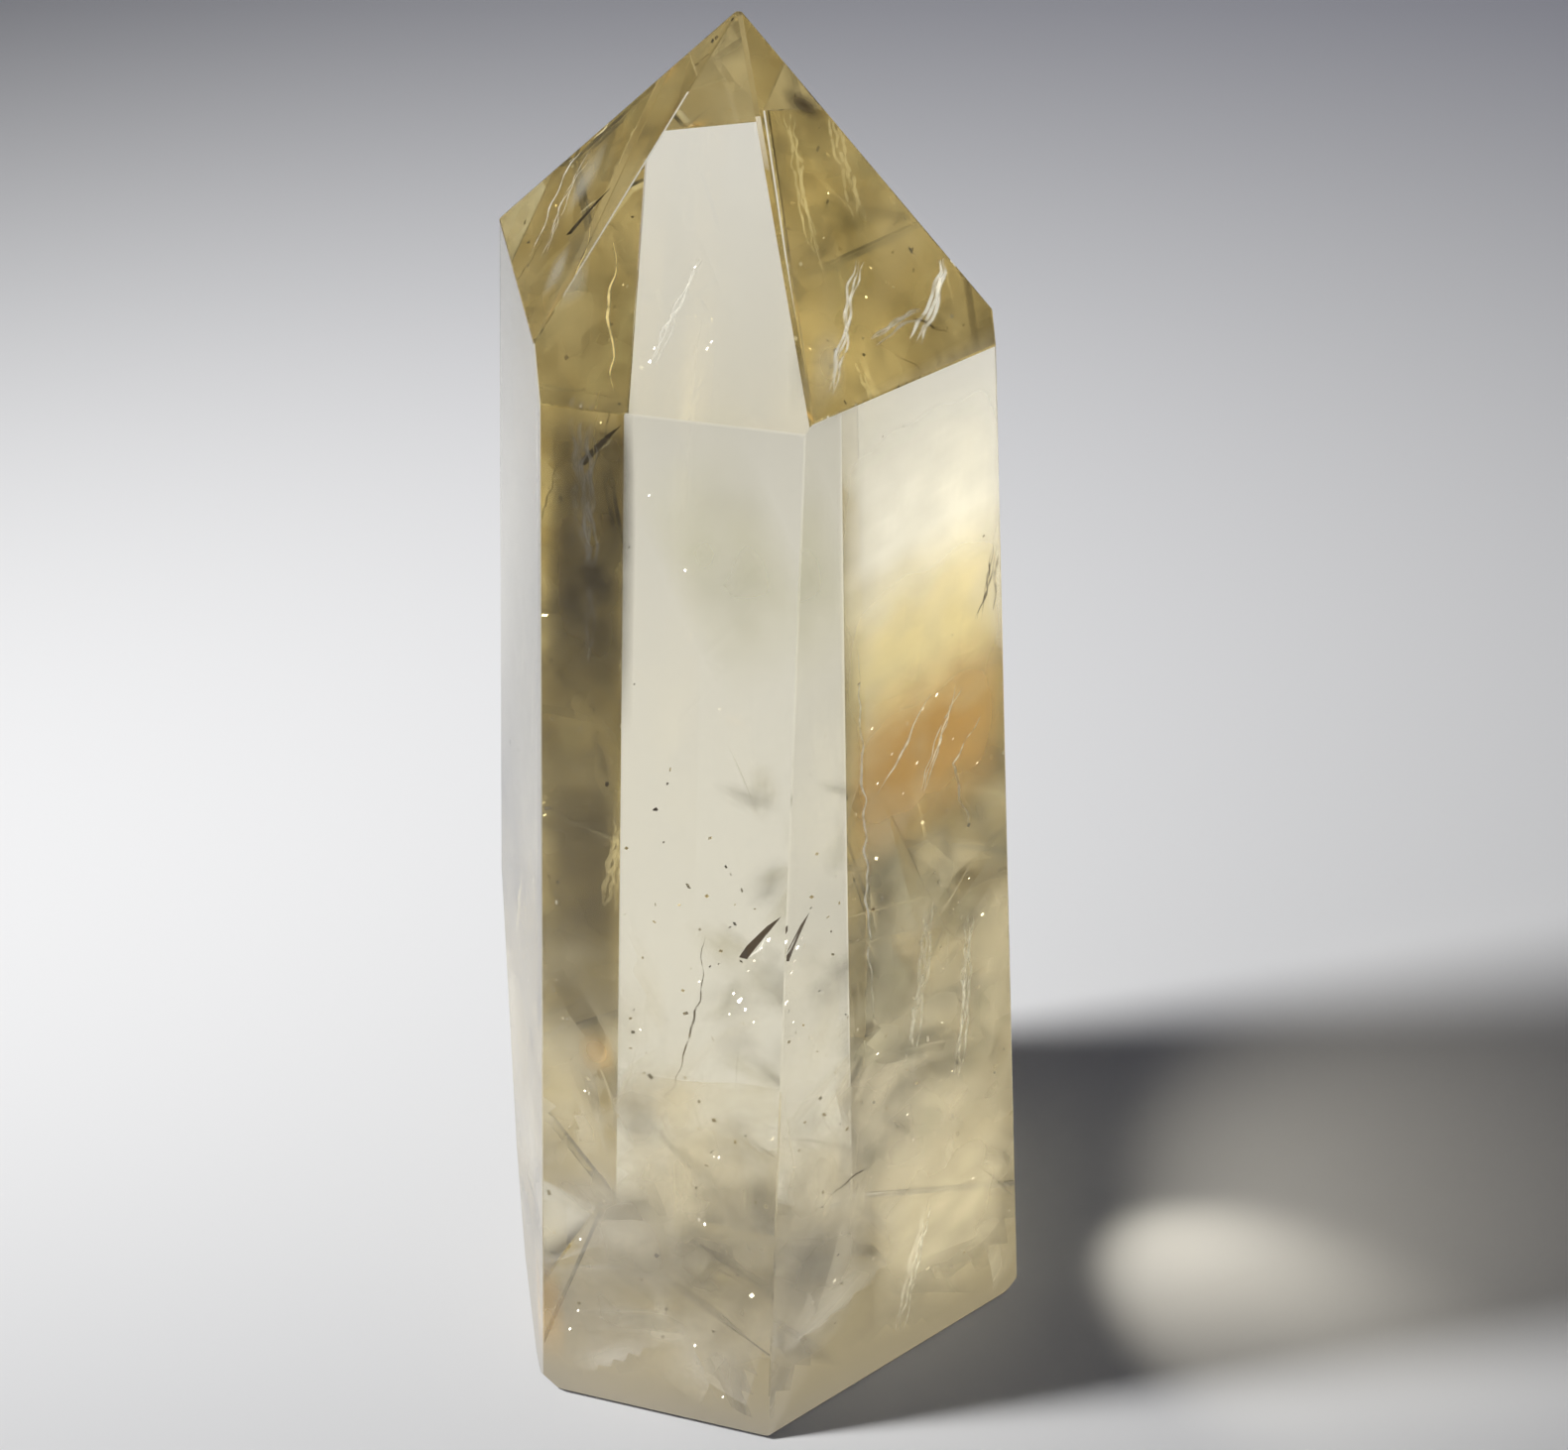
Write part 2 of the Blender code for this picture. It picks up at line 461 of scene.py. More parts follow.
def scattered(nodes, given, points, sheet):
    """The sheet on each point, turned and sized at random, as one plain mesh."""
    tilt, seed = given["Tilt"], given["Seed"]
    most = nodes.add("ShaderNodeCombineXYZ", {"X": tilt, "Y": tilt, "Z": math.pi}).outputs[0]
    turns = nodes.random(nodes.scaled(most, -1.0), most, seed, 3)
    widths = nodes.random(given["Smallest"], given["Largest"], seed, 5)
    lengths = nodes.math("MULTIPLY", widths, nodes.random(*LENGTH_TO_WIDTH, seed, 7))
    scales = nodes.add("ShaderNodeCombineXYZ", {"X": lengths, "Y": widths, "Z": widths}).outputs[0]
    placed = {"Points": points, "Instance": sheet, "Rotation": turns, "Scale": scales}
    instances = nodes.add("GeometryNodeInstanceOnPoints", placed).outputs[0]
    return nodes.add("GeometryNodeRealizeInstances", {"Geometry": instances}).outputs[0]


print("sheets are", LENGTH_TO_WIDTH, "times as long as wide")

# %% [markdown]
# The third step gives every corner a "veil" value: full in a sheet's middle, nothing at its rim, broken
# up by noise, and fading out just under the skin and towards the top of the box. The fourth puts it all
# together. It crumples the sheets with noise, stores the values, and trims what would come too near to
# the skin.

# %% The wisp tree
FULL_DEPTH = 0.8 * MM  # under the skin, from where on a veil is full
CRUMPLE_NOISE, CRUMPLE_DETAIL = 110.0, 1.0
RAGGED_NOISE, RAGGED_DETAIL = 90.0, 2.0  # frays the top of the cloud
BROKEN_DETAIL = 3.0
BROKEN_CLEAR, BROKEN_FULL = 0.22, 0.72  # the noise that breaks a sheet up is clear below, full above
NOISE_MIDDLE = (0.5, 0.5, 0.5)


def veil_values(nodes, given, depth):
    """How solid each corner is."""
    fade = given["Fade"]
    here = nodes.add("GeometryNodeInputPosition").outputs[0]
    top_fades_at = nodes.math("SUBTRACT", nodes.height(given["Highest"]), fade)
    edge = nodes.math("MULTIPLY_ADD", nodes.noise(RAGGED_NOISE, RAGGED_DETAIL), fade, top_fades_at)
    below_top = nodes.smooth(nodes.height(here), edge, nodes.math("SUBTRACT", edge, fade))
    under_skin = nodes.smooth(depth, THINNEST_COVER, FULL_DEPTH)
    broken = nodes.smooth(nodes.noise(given["Grain"], BROKEN_DETAIL), BROKEN_CLEAR, BROKEN_FULL)
    soft = nodes.add("GeometryNodeInputNamedAttribute", {"Name": "soft"}, data_type="FLOAT").outputs[0]
    value = nodes.math("MULTIPLY", nodes.math("MULTIPLY", soft, broken), under_skin)
    return nodes.math("MULTIPLY", value, below_top)


def wisp_tree():
    """The tree that grows soft, crumpled sheets inside the stone."""
    tree, nodes = new_tree("wisps", WISP_SOCKETS)
    given = nodes.add("NodeGroupInput").outputs
    sheets = scattered(nodes, given, points_inside(nodes, given), soft_sheet(nodes, given["Rows"]))
    ripple = nodes.noise(CRUMPLE_NOISE, CRUMPLE_DETAIL, "Color")
    push = nodes.scaled(nodes.vector("SUBTRACT", ripple, NOISE_MIDDLE), given["Crumple"])
    crumpled = nodes.add("GeometryNodeSetPosition", {"Geometry": sheets, "Offset": push}).outputs[0]
    depth = depth_inside(nodes, given["Body"])
    marked = nodes.store(crumpled, "veil", veil_values(nodes, given, depth))
    trimmed = nodes.without(marked, nodes.math("LESS_THAN", depth, THINNEST_COVER))
    real = nodes.add("GeometryNodeRealizeInstances", {"Geometry": trimmed}).outputs[0]
    done = nodes.add("GeometryNodeSetMaterial", {"Geometry": real, "Material": given["Material"]})
    nodes.add("NodeGroupOutput", {"Geometry": done.outputs[0]})
    return tree


wisps = wisp_tree()
print("wisp tree has", len(wisps.nodes), "nodes")

# %% [markdown]
# The sheets' material must look like haze and not like paper. Haze has no front and no back: a tiny
# bubble scatters light to all sides. So half of the shader is a plain matt surface, which returns the
# light in front of a sheet, and half is Translucent, which passes on the light from behind it. Both are
# shaded as if the sheet faced the lamp, so a crumpled sheet is as bright everywhere. Then Transparent is
# mixed in where the "veil" value is low. Every veil in the stone uses that value, so a small shader node
# group called "soft veil" reads it, and each material places the group with a strength of its own.

# %% The soft veil group
def soft_veil_group():
    """How solid a sheet is at each place: what its corners store, times a strength."""
    group = bpy.data.node_groups.new("soft veil", "ShaderNodeTree")
    group.interface.new_socket("Strength", in_out="INPUT", socket_type="NodeSocketFloat")
    group.interface.new_socket("Solid", in_out="OUTPUT", socket_type="NodeSocketFloat")
    nodes = Nodes(group)
    strength = nodes.add("NodeGroupInput").outputs["Strength"]
    veil = nodes.add("ShaderNodeAttribute", attribute_name="veil").outputs["Fac"]
    nodes.add("NodeGroupOutput", {"Solid": nodes.math("MULTIPLY", veil, strength)})
    return group


soft_veil = soft_veil_group()
print("group", soft_veil.name, "has", len(soft_veil.nodes), "nodes")

# %% Veil material
CREAM = (0.49, 0.455, 0.38)
TOWARDS_LIGHT = Vector((-0.60, -0.30, 0.74)).normalized()


def veil_material(name, colour, strength, passes=0.5):
    """A soft veil, as solid as its corners say, that takes a share of its light from behind."""
    material = plain_material(name, colour, 1.0)
    nodes = Nodes(material.node_tree)
    front = material.node_tree.nodes["Principled BSDF"]
    front.inputs["Specular IOR Level"].default_value = 0.0
    towards = nodes.add("ShaderNodeCombineXYZ", dict(zip("XYZ", TOWARDS_LIGHT))).outputs[0]
    away = nodes.add("ShaderNodeCombineXYZ", dict(zip("XYZ", -TOWARDS_LIGHT))).outputs[0]
    nodes.fill(front.inputs["Normal"], towards)
    back = nodes.add("ShaderNodeBsdfTranslucent", {"Color": (*colour, 1.0), "Normal": away})
    haze_mix = nodes.add("ShaderNodeMixShader", {0: passes, 1: front.outputs[0], 2: back.outputs[0]})
    clear = nodes.add("ShaderNodeBsdfTransparent")
    mask = nodes.add("ShaderNodeGroup", node_tree=soft_veil)
    mask.inputs["Strength"].default_value = strength
    layers = {0: mask.outputs["Solid"], 1: clear.outputs[0], 2: haze_mix.outputs[0]}
    shown = nodes.add("ShaderNodeMixShader", layers)
    nodes.fill(material.node_tree.nodes["Material Output"].inputs["Surface"], shown.outputs[0])
    return material


milky = veil_material("milky quartz", CREAM, 0.85)
haze = veil_material("thin haze", CREAM, 0.34)
print("veils:", milky.name, "and", haze.name)

# %% [markdown]
# ## The cloudy foot
# The cloud is thick at the very bottom and thins out upwards, so it is grown in two layers.

# %% Grow the cloud
grow(
    "cloudy_foot",
    wisps,
    {
        "Count": 180,
        "Lowest": (-15 * MM, -16 * MM, 0.0),
        "Highest": (15 * MM, 16 * MM, 18 * MM),
        "Smallest": 6 * MM,
        "Largest": 11 * MM,
        "Rows": 10,
        "Tilt": math.pi,
        "Crumple": 2.5 * MM,
        "Grain": 260.0,
        "Fade": 6 * MM,
        "Seed": 4,
        "Material": milky,
    },
)
grow(
    "cloud_top",
    wisps,
    {
        "Count": 110,
        "Lowest": (-15 * MM, -16 * MM, 8 * MM),
        "Highest": (15 * MM, 16 * MM, 32 * MM),
        "Smallest": 4 * MM,
        "Largest": 9 * MM,
        "Rows": 9,
        "Tilt": math.pi,
        "Crumple": 2.5 * MM,
        "Grain": 420.0,
        "Fade": 10 * MM,
        "Seed": 9,
        "Material": haze,
    },
)

# %% [markdown]
# ## The matt foot
# The foot was sawn and ground flat but never polished, so it is matt. Seen through the stone it is a pale
# sheet, and the long paths of light that zigzag down from the tip end on it. It is a slice of the body, a
# hair above the foot.

# %% The foot sheet
FOOT_SHEET_HEIGHT = 0.15 * MM
FOOT_SHEET_SHRINK = 0.985
MATT_COLOUR = (0.40, 0.355, 0.265)


def body_slice(height):
    """The outline of the body at a height, as one flat face in a new bmesh."""
    cut = bmesh.new()
    cut.from_mesh(crystal.data)
    everything = cut.verts[:] + cut.edges[:] + cut.faces[:]
    found = bmesh.ops.bisect_plane(cut, geom=everything, plane_co=(0, 0, height), plane_no=(0, 0, 1))
    rim = [piece.co.copy() for piece in found["geom_cut"] if isinstance(piece, bmesh.types.BMVert)]
    cut.free()
    middle = sum(rim, Vector()) / len(rim)
    rim.sort(key=lambda place: math.atan2(place.y - middle.y, place.x - middle.x))
    shape = bmesh.new()
    shape.faces.new([shape.verts.new(middle + (place - middle) * FOOT_SHEET_SHRINK) for place in rim])
    return shape


matt = plain_material("matt foot", MATT_COLOUR, 1.0)
foot_sheet = object_from_bmesh("matt_foot", body_slice(FOOT_SHEET_HEIGHT), matt)
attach(foot_sheet, "root")
print("foot sheet has", len(foot_sheet.data.vertices), "corners")

# %% [markdown]
# ## Haze and moss
# Above the cloud the stone is nearly clear, with a breath of haze that only shows along the long paths.
# At the right, half way up, sits a darker, mossy patch of small wisps.

# %% Grow the haze and the mossy patch
breath = veil_material("breath of haze", (0.90, 0.87, 0.78), 0.055)
moss = veil_material("mossy haze", (0.38, 0.355, 0.25), 0.45)
grow(
    "body_haze",
    wisps,
    {
        "Count": 40,
        "Lowest": (-15 * MM, -16 * MM, 20 * MM),
        "Highest": (15 * MM, 16 * MM, 85 * MM),
        "Smallest": 6 * MM,
        "Largest": 12 * MM,
        "Rows": 9,
        "Tilt": math.pi,
        "Crumple": 2.5 * MM,
        "Grain": 300.0,
        "Fade": 4 * MM,
        "Seed": 21,
        "Material": breath,
    },
)
grow(
    "mossy_patch",
    wisps,
    {
        "Count": 120,
        "Lowest": (1 * MM, -12 * MM, 14 * MM),
        "Highest": (14 * MM, 5 * MM, 47 * MM),
        "Smallest": 2 * MM,
        "Largest": 5 * MM,
        "Rows": 8,
        "Tilt": math.pi,
        "Crumple": 2 * MM,
        "Grain": 700.0,
        "Fade": 7 * MM,
        "Seed": 33,
        "Material": moss,
    },
)

# %% [markdown]
# ## Healed cracks
# Here and there the growing crystal cracked and healed again, which leaves thin whitish ribbons, wavy and
# soft at their edges. Each is drawn along a few points (in millimetres) and filled out by a helper: it
# walks along the path, lets the width waver, and lays five corners across it, solid in the middle and
# clear at both sides.

# %% Ribbon helper
FRONT_ABOVE = Vector((-0.30, -0.75, 0.60)).normalized()
ACROSS = ((-1.0, 0.0), (-0.5, 0.7), (0.0, 1.0), (0.5, 0.7), (1.0, 0.0))  # (place across, how solid)
RIBBON_STEP = 0.25 * MM
DRIFT_NOISE, GRAIN_NOISE = 900.0, 2200.0
GRAIN_PLACE = Vector((7.0, 0.0, 0.0))  # keeps the grain apart from the drift
OWN_NOISE = 40.0  # gives strands side by side their own pattern
WAVER = 0.35  # how far a ribbon strays from its path, in millimetres
WIDTH_SWING = 0.6
GRAIN_MEAN, GRAIN_SWING = 0.58, 0.8


def evenly(path, step):
    """Points at even steps along a path given in millimetres."""
    corners = [Vector(corner) * MM for corner in path]
    places = []
    for start, end in zip(corners, corners[1:]):
        pieces = max(2, round((end - start).length / step))
        places += [start.lerp(end, k / pieces) for k in range(pieces)]
    return places + [corners[-1]]


def add_ribbon(shape, path, width, solid, shift=0.0):
    """Add a soft ribbon, shifted sideways, to a bmesh that has a "veil" layer, in millimetres."""
    layer = shape.verts.layers.float["veil"]
    places = evenly(path, RIBBON_STEP)
    own = Vector((0.0, OWN_NOISE * shift, 0.0))
    rows = []
    for k, place in enumerate(places):
        next_place, last_place = places[min(k + 1, len(places) - 1)], places[max(k - 1, 0)]
        side = (next_place - last_place).cross(FRONT_ABOVE).normalized()
        drift = noise.noise(place * DRIFT_NOISE + own)
        grain = GRAIN_MEAN + GRAIN_SWING * noise.noise(place * GRAIN_NOISE + own + GRAIN_PLACE)
        taper = math.sin(math.pi * (k + 0.5) / len(places)) ** 0.5
        half = 0.5 * width * MM * taper * (1.0 + WIDTH_SWING * drift)
        middle = place + side * (drift * WAVER + shift) * MM
        row = []
        for offset, weight in ACROSS:
            corner = shape.verts.new(middle + side * half * offset)
            corner[layer] = max(0.0, min(1.0, weight * solid * taper * 2.0 * max(0.0, grain)))
            row.append(corner)
        rows.append(row)
    for one, other in zip(rows, rows[1:]):
        for k in range(len(ACROSS) - 1):
            shape.faces.new((one[k], one[k + 1], other[k + 1], other[k]))


print("ribbon steps in mm:", RIBBON_STEP / MM)

# %% [markdown]
# A piece inside a stone must not stick out of it. The crystal bulges everywhere, so a corner lies inside
# if it is behind the plane of every facet. The next helper measures that and prints it for each piece.

# %% Helpers for inner pieces
def least_cover(mesh):
    """How deep under the skin the mesh's nearest corner lies, negative if it pokes out."""
    facets = [(facet.normal, facet.normal.dot(facet.center)) for facet in crystal.data.polygons]
    return min(reach - normal.dot(corner.co) for corner in mesh.vertices for normal, reach in facets)


def inner_piece(name, shape, material):
    """Put a finished inner piece into the scene. It rides with the stone and casts no shadow."""
    thing = object_from_bmesh(name, shape, material)
    thing.visible_shadow = False
    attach(thing, "root")
    cover = round(least_cover(thing.data) / MM, 2)
    print(name, "has", len(thing.data.polygons), "faces, the nearest", cover, "mm under the skin")
    return thing


def veil_shape():
    """An empty bmesh with a "veil" value at each corner."""
    shape = bmesh.new()
    shape.verts.layers.float.new("veil")
    return shape


print("helpers for inner pieces ready")

# %% Healed cracks
# (path, width, how solid), all in millimetres
CRACKS = [
    ([(-6.8, 4.2, 69.6), (-7.6, 3.7, 68.5), (-8.3, 2.9, 67.5),
      (-8.7, 2.0, 66.8), (-9.4, 1.0, 65.7)], 0.16, 0.8),
    ([(-5.9, 4.1, 69.4), (-6.7, 3.4, 68.3), (-7.4, 2.4, 67.2),
      (-7.9, 1.1, 66.3), (-8.4, 0.4, 65.5)], 0.30, 0.4),
    ([(-7.2, -7.1, 63.0), (-7.5, -7.1, 60.5), (-7.6, -7.3, 57.8),
      (-7.5, -7.4, 55.5), (-8.0, -7.6, 48.9)], 0.55, 0.6),
    ([(-7.5, -6.0, 62.6), (-7.7, -6.0, 60.9), (-7.6, -6.2, 58.5), (-8.1, -6.3, 55.0)], 1.1, 0.45),
    ([(4.4, -3.0, 68.0), (3.9, -4.5, 66.9), (3.6, -6.0, 65.7),
      (3.2, -7.2, 64.7), (2.9, -8.3, 64.0)], 0.50, 0.7),
    ([(8.4, -1.4, 67.1), (8.5, -2.4, 67.0), (8.1, -3.4, 66.3),
      (7.7, -4.3, 65.7), (7.1, -5.4, 65.1)], 0.75, 1.0),
    ([(7.3, -3.4, 65.4), (5.9, -4.6, 65.3), (4.9, -5.5, 65.1)], 0.50, 0.5),
    ([(-1.9, -2.7, 68.2), (-2.4, -3.2, 67.3), (-3.1, -3.9, 66.1),
      (-3.7, -4.6, 64.9), (-4.3, -5.1, 64.0)], 0.35, 0.9),
    ([(8.1, -6.1, 10.5), (7.8, -6.3, 8.0), (7.3, -6.8, 5.3),
      (6.8, -7.1, 2.5), (6.5, -7.4, 0.9)], 0.9, 0.6),
    ([(0.6, -10.4, 34.2), (0.2, -10.7, 33.5), (-0.3, -10.6, 32.6)], 0.22, 0.8),
    ([(10.4, -5.1, 30.3), (10.3, -5.3, 25.9), (10.2, -5.4, 22.1), (9.9, -5.6, 18.3)], 0.7, 0.5),
    ([(7.9, -6.0, 32.4), (7.7, -6.1, 27.9), (7.2, -6.4, 23.7), (6.8, -6.8, 19.9)], 0.9, 0.35),
    ([(5.6, -9.2, 41.4), (7.0, -8.1, 44.1), (8.3, -7.1, 46.1)], 0.22, 0.8),
    ([(7.8, -7.5, 40.1), (8.7, -6.8, 43.3), (9.7, -6.0, 45.8)], 0.45, 0.6),
    ([(10.3, -5.7, 36.6), (9.4, -6.3, 41.0), (10.9, -5.1, 43.2)], 0.22, 0.7),
    ([(4.5, -10.2, 51.5), (4.7, -10.0, 44.8), (4.9, -9.9, 38.2),
      (5.1, -9.8, 31.5), (5.3, -9.7, 26.5)], 0.22, 0.9),
]
GOLDEN_CRACKS = [
    ([(-5.9, -1.2, 68.3), (-6.0, -2.1, 67.0), (-6.1, -3.3, 65.5),
      (-6.1, -4.4, 64.0), (-6.2, -5.4, 62.7)], 0.14, 1.0),
    ([(-6.8, -5.3, 62.7), (-6.9, -5.3, 61.5), (-7.0, -5.4, 59.8), (-7.1, -5.4, 58.6)], 0.12, 0.9),
]
DARK_CRACKS = [
    ([(-2.4, -9.4, 33.3), (-2.7, -9.4, 30.4), (-2.9, -9.5, 27.8),
      (-3.3, -9.5, 26.3), (-4.9, -9.2, 21.2)], 0.12, 0.8),
    ([(11.4, -4.9, 53.5), (11.3, -5.1, 52.1), (11.0, -5.3, 50.8), (10.6, -5.6, 49.5)], 0.40, 0.6),
    ([(11.7, -5.0, 52.9), (11.6, -5.1, 51.1), (11.4, -5.2, 49.7)], 0.25, 0.6),
    ([(2.9, -11.0, 15.0), (3.5, -10.5, 15.5), (4.2, -10.0, 15.7), (4.8, -9.6, 15.8)], 0.25, 0.7),
]
print("cracks:", len(CRACKS), "pale,", len(GOLDEN_CRACKS), "golden,", len(DARK_CRACKS), "dark")

# %% [markdown]
# Wide cracks look better feathered, as three thin strands side by side. Cracks of one colour become one
# mesh.

# %% Build the cracks
WHITE, GOLD, DARK_BROWN = (1.0, 0.98, 0.90), (1.0, 0.82, 0.38), (0.16, 0.13, 0.08)
FEATHERED = 0.28  # millimetres: from this width on a crack is three thin strands side by side
STRAND_WIDTH, STRAND_GAP = 0.42, 0.34  # shares of the crack's width
for name, colour, cracks in (
    ("pale_cracks", WHITE, CRACKS),
    ("golden_cracks", GOLD, GOLDEN_CRACKS),
    ("dark_cracks", DARK_BROWN, DARK_CRACKS),
):
    shape = veil_shape()
    for path, width, solid in cracks:
        if width < FEATHERED:
            add_ribbon(shape, path, width, solid)
        else:
            for side in (-1.0, 0.0, 1.0):
                add_ribbon(shape, path, STRAND_WIDTH * width, solid, side * STRAND_GAP * width)
    inner_piece(name, shape, veil_material(name.replace("_", " "), colour, 1.0))

# %% [markdown]
# ## Stains, clouds and painted light
# Iron stains quartz from yellow to orange. Not every patch here is a stain: the dark zone along the
# left front facet and the dark patch under the tip are painted shade, for the dark room seen through
# the stone, and the pale, cream and amber patches under the right facet are a painted reflection of
# the bright floor, dimming to the stone's own amber. Each patch is soft, some slightly rippled, and is
# given by its middle, its half sides and its colour. Patches lean back a little, so that the lamp
# reaches the side that is seen from the front. Those along the facet that faces away from the lamp
# can't be lit that way, so they take nearly all their light from behind.

# %% Patch helper
PATCH_ROWS = 24
PATCH_RIPPLE = 0.35 * MM
PATCH_MOTTLE = 0.36
BUMP_NOISE, MOTTLE_NOISE = 220.0, 600.0
END_FADE = 1.5


def add_patch(shape, middle, right, up, solid, seed, full):
    """Add a soft patch, spanned by two half sides. The fuller, the later it fades at its sides."""
    ripple = PATCH_RIPPLE if full <= 2.0 else 0.0  # full patches lie close together and must not cross
    layer = shape.verts.layers.float["veil"]
    middle, right, up = Vector(middle) * MM, Vector(right) * MM, Vector(up) * MM
    outwards = right.cross(up).normalized()
    grid = []
    for j in range(PATCH_ROWS + 1):
        row = []
        for i in range(PATCH_ROWS + 1):
            u, v = 2.0 * i / PATCH_ROWS - 1.0, 2.0 * j / PATCH_ROWS - 1.0
            flat = middle + right * u + up * v
            bump = noise.noise(flat * BUMP_NOISE + Vector((seed, 0.0, 0.0)))
            corner = shape.verts.new(flat + outwards * bump * ripple)
            fade = (1.0 - abs(u) ** full) * (1.0 - v * v) ** END_FADE
            mottle = 1.0 + PATCH_MOTTLE * noise.noise(flat * MOTTLE_NOISE + Vector((0.0, seed, 0.0)))
            corner[layer] = max(0.0, min(1.0, solid * fade * mottle))
            row.append(corner)
        grid.append(row)
    for j in range(PATCH_ROWS):
        for i in range(PATCH_ROWS):
            shape.faces.new((grid[j][i], grid[j][i + 1], grid[j + 1][i + 1], grid[j + 1][i]))


print("faces in a patch:", PATCH_ROWS * PATCH_ROWS)

# %% Stains, clouds and painted light
# name: (colour, share of its light that comes from behind, how late its sides fade, patches)
# and each patch: (middle, half side to the right, half side up, how solid)
STAINS = {
    # painted shade: these dark sheets stand for the dark room seen through the left front facet
    "painted_shade_zone": (DARK_BROWN, 0.5, 4.0, [
        ((-7.4, -8.2, 61.0), (2.0, -0.6, 0.0), (0.1, 0.1, 4.4), 0.80),
        ((-7.8, -8.6, 54.5), (2.2, -0.65, 0.0), (0.45, 0.35, 9.5), 0.93),
        ((-8.9, -8.8, 38.0), (2.1, -0.65, 0.0), (0.5, 0.2, 17.0), 0.65),
    ]),
    # painted shade: a dark patch under the tip, for the dark room seen through it
    "painted_shade_tip": ((0.20, 0.15, 0.08), 0.5, 2.0, [
        ((2.2, -0.6, 75.2), (1.0, 0.4, -0.7), (-0.1, 0.5, 0.45), 0.90),
    ]),
    # painted reflection of the bright floor in the right facet, dimming from pale to amber below
    "painted_amber_dimming": ((0.42, 0.26, 0.09), 0.9, 4.0, [
        ((7.7, -6.4, 42.4), (4.2, 3.1, 0.6), (0.0, 0.0, 6.4), 0.97),
    ]),
    "painted_cream_reflection": ((0.74, 0.64, 0.37), 0.9, 4.0, [
        ((7.4, -5.9, 48.6), (4.3, 3.2, 0.5), (0.0, 0.0, 7.2), 0.96),
    ]),
    "painted_pale_reflection": ((0.98, 0.955, 0.88), 0.9, 4.0, [
        ((7.1, -5.6, 56.0), (4.2, 3.2, 0.4), (0.0, 0.0, 8.0), 0.96),
    ]),
    "milky_corner": ((0.80, 0.74, 0.60), 0.9, 4.0, [
        ((8.8, -5.6, 8.5), (3.9, 2.9, 0.0), (0.0, 0.0, 8.0), 0.50),
    ]),
    "white_cloud": ((1.0, 0.98, 0.86), 0.5, 2.0, [
        ((-6.5, 1.9, 69.5), (1.2, 0.6, 0.4), (0.2, 1.0, 1.0), 0.35),
        ((-7.9, -2.2, 66.8), (0.8, 0.3, 0.2), (0.2, 0.8, 0.9), 0.35),
        ((2.9, -8.0, 65.4), (0.9, 0.3, 0.2), (0.0, 1.2, 1.6), 0.35),
    ]),
    "yellow_band": ((1.0, 0.96, 0.48), 0.1, 2.0, [
        ((-0.4, -6.8, 55.0), (2.9, 0.3, 2.0), (-2.6, 1.5, 6.2), 0.34),
    ]),
    "orange_stain": ((1.0, 0.66, 0.28), 0.5, 2.0, [
        ((-8.5, -8.8, 24.4), (1.0, -0.2, 0.0), (0.0, 0.8, 1.3), 0.5),
        ((-12.0, -9.0, 5.0), (1.0, -0.3, 0.0), (0.0, 1.0, 4.0), 0.35),
    ]),
}
for order, (name, (colour, passes, full, patches)) in enumerate(STAINS.items()):
    shape = veil_shape()
    for count, (middle, right, up, solid) in enumerate(patches):
        add_patch(shape, middle, right, up, solid, 10.0 * order + count, full)
    inner_piece(name, shape, veil_material(name.replace("_", " "), colour, 1.0, passes))

# %% [markdown]
# ## Sparkles
# A crack that is still open holds a film of air and mirrors the light. Tiny ones flash like sparks. A
# mirror is a metal with a little roughness. Most flakes lie every way, so they are grown by the same
# tree, with flat grids of one quad. A few larger ones are listed one by one, turned half way between the
# lamp and the front, so they flash.
#
# The larger flakes and the specks further down are shaken by noise_vector. It starts afresh in each
# session unless its seed is set, so the seed is set once here, and every run gives the same flakes.

# %% Grow the sparkles
mirror = plain_material("open crack", (1.0, 0.95, 0.84), 0.25, metallic=1.0)
grow(
    "sparks",
    wisps,
    {
        "Count": 340,
        "Lowest": (-15 * MM, -16 * MM, 0.5 * MM),
        "Highest": (15 * MM, 16 * MM, 34 * MM),
        "Smallest": 0.08 * MM,
        "Largest": 0.24 * MM,
        "Rows": 2,
        "Tilt": math.pi,
        "Crumple": 0.0,
        "Grain": 100.0,
        "Fade": 1 * MM,
        "Seed": 55,
        "Material": mirror,
    },
)

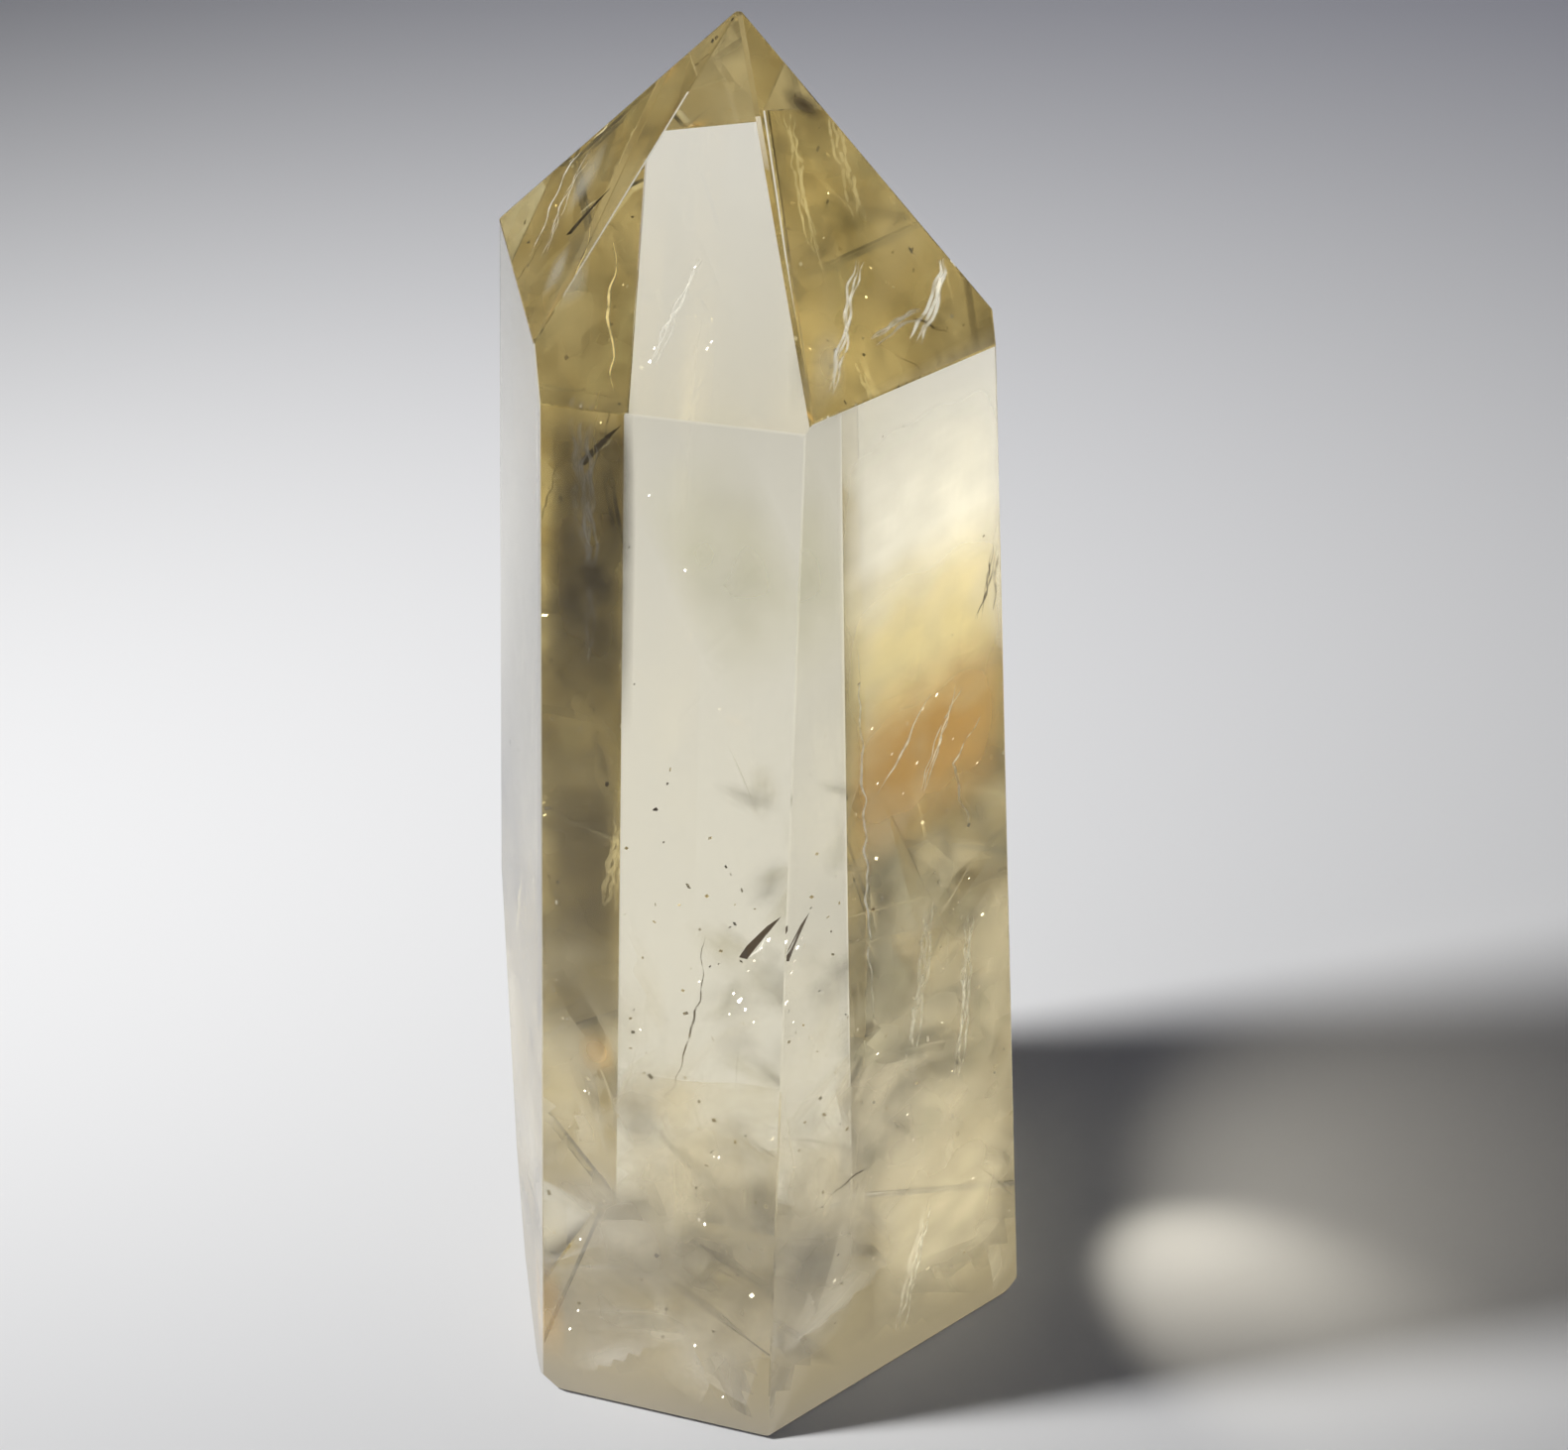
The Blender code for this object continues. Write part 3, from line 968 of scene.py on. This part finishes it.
# %% Place the larger flakes
# (x, y, z, size) in millimetres
FLASHES = [
    (0.9, -10.1, 33.6, 0.4), (0.5, -9.9, 32.9, 0.4), (0.2, -9.6, 31.9, 0.35), (-0.1, -9.3, 31.0, 0.3),
    (-0.6, -9.2, 28.9, 0.55), (-0.9, -9.1, 29.3, 0.3), (-0.3, -9.4, 28.4, 0.3), (-1.1, -9.1, 27.9, 0.2),
    (-4.3, -5.0, 64.1, 0.3), (-4.1, -4.7, 64.6, 0.2), (-1.4, -5.2, 65.2, 0.25), (-1.6, -5.3, 64.9, 0.25),
    (-2.1, -2.9, 67.9, 0.2), (-4.5, -7.2, 59.1, 0.2), (-2.9, -7.9, 55.2, 0.3), (4.7, -5.0, 44.8, 0.4),
    (5.1, -4.7, 44.2, 0.3), (6.6, -4.6, 43.4, 0.3), (4.0, -5.5, 44.0, 0.3), (5.4, -4.4, 42.8, 0.3),
    (7.2, -6.7, 15.4, 0.35), (-2.1, -11.2, 18.8, 0.35), (-2.4, -11.1, 18.8, 0.25), (-3.0, -11.2, 13.8, 0.3),
    (-10.3, -9.7, 5.5, 0.3), (-10.8, -9.7, 4.0, 0.25), (-3.8, -11.9, 4.8, 0.35), (-2.5, -13.7, 2.0, 0.25),
    (9.5, -5.0, 13.0, 0.45), (9.3, -5.1, 12.6, 0.3), (11.0, -4.9, 10.2, 0.25), (11.9, -4.3, 7.8, 0.3),
    (3.6, -10.0, 13.6, 0.25), (-9.2, -8.7, 21.5, 0.2), (-6.1, -9.5, 26.6, 0.2), (-2.9, -10.3, 30.6, 0.25),
    (0.1, -9.8, 27.8, 0.2), (4.6, -6.4, 22.3, 0.25), (6.6, -6.1, 17.1, 0.3), (8.5, -4.6, 22.5, 0.2),
    (7.0, -8.1, 45.0, 0.3), (7.8, -7.5, 45.5, 0.35), (8.5, -6.9, 45.9, 0.3), (6.2, -8.7, 43.6, 0.3),
    (5.5, -9.3, 42.2, 0.25), (9.4, -6.3, 42.6, 0.3), (10.1, -5.7, 43.7, 0.25), (7.5, -7.7, 42.2, 0.3),
    (8.9, -6.7, 40.0, 0.25), (6.8, -8.3, 40.7, 0.25), (10.7, -5.3, 40.2, 0.25),
    (9.4, -5.0, 18.9, 0.2), (3.8, -6.8, 41.2, 0.25), (3.7, -6.9, 40.7, 0.2), (-9.9, -9.1, 10.7, 0.2),
]
HALF_WAY = Vector((-0.53, -0.56, 0.63)).normalized()
SHAKE = 0.25
SHAKE_SEED = 5
FLAKE_WIDTH = 0.6  # against its length


def add_flake(shape, place, size, facing, seed):
    """Add one small, uneven, flat flake with five or six corners."""
    facing = facing.normalized()
    side = facing.orthogonal().normalized()
    other_side = facing.cross(side)
    corners = 5 + seed % 2
    ring = []
    for k in range(corners):
        angle = 2.0 * math.pi * (k + 0.3 * math.sin(seed + 2.0 * k)) / corners
        reach = 0.5 * size * MM * (0.7 + 0.3 * math.sin(seed * 3.0 + k))
        offset = side * math.cos(angle) * reach + other_side * math.sin(angle) * reach * FLAKE_WIDTH
        ring.append(shape.verts.new(place + offset))
    shape.faces.new(ring)


noise.seed_set(SHAKE_SEED)
shape = bmesh.new()
for seed, (x, y, z, size) in enumerate(FLASHES):
    shake = noise.noise_vector(Vector((seed * 1.7, 3.1, 0.4))) * SHAKE
    add_flake(shape, Vector((x, y, z)) * MM, size, HALF_WAY + shake, seed)
inner_piece("flashes", shape, mirror)

# %% [markdown]
# ## The open crack
# In the middle of the front a small crack has stayed open. It would mirror the dark room, so it is
# drawn as a plain dark wedge: its dark colour is a painted reflection. The flakes that trail off below
# it mirror the lamp.

# %% The open crack
WEDGE = [(1.5, -10.5, 35.4), (0.8, -10.1, 34.5), (-0.2, -9.5, 32.8), (-0.6, -9.3, 31.9), (-0.2, -9.5, 31.9),
         (0.2, -9.8, 32.8), (0.9, -10.2, 34.2)]


def outline_shape(outline):
    """One face through the given corners, in millimetres."""
    shape = bmesh.new()
    face = shape.faces.new([shape.verts.new(Vector(corner) * MM) for corner in outline])
    bmesh.ops.triangulate(shape, faces=[face])
    return shape


# painted reflection: the wedge is painted dark, for the dark room it would mirror
inner_piece("open_crack", outline_shape(WEDGE), plain_material("crack with painted dark reflection", (0.10, 0.07, 0.04), 0.2))

# %% [markdown]
# ## Specks
# A few dark grains of another mineral were caught while the crystal grew.

# %% Specks
SPECKS = [
    (-4.9, -9.1, 41.1, 0.5), (-4.2, -9.2, 42.8, 0.3), (-7.4, -9.1, 42.5, 0.5), (-2.3, -10.4, 31.7, 0.25),
    (-1.9, -10.6, 32.0, 0.2), (3.3, -10.8, 10.4, 0.35), (3.2, -11.4, 5.4, 0.25), (-11.7, -7.0, 6.8, 0.5),
    (-5.7, -10.5, 10.7, 0.6), (5.5, -4.1, 61.2, 0.25), (4.5, -4.9, 61.1, 0.2), (6.2, -3.6, 60.9, 0.2),
    (5.0, -4.6, 52.8, 0.25), (5.3, -4.4, 52.1, 0.25), (4.8, -4.8, 53.2, 0.2), (6.8, -4.3, 54.7, 0.2),
    (10.9, -5.6, 54.5, 0.3), (-5.8, -9.3, 48.9, 0.2), (4.1, -8.6, 48.4, 0.35), (-4.5, -9.3, 39.1, 0.25),
    (2.4, -9.0, 33.0, 0.35), (-5.8, -8.9, 56.8, 0.2), (4.3, -5.1, 60.4, 0.2), (8.9, -5.0, 48.6, 0.2),
]
shape = bmesh.new()
for seed, (x, y, z, size) in enumerate(SPECKS):
    lean = noise.noise_vector(Vector((seed * 2.3, 0.7, 5.0)))
    add_flake(shape, Vector((x, y, z)) * MM, size, FRONT_ABOVE + lean, seed)
inner_piece("specks", shape, plain_material("dark grain", (0.14, 0.12, 0.09), 0.6))

# %% finish
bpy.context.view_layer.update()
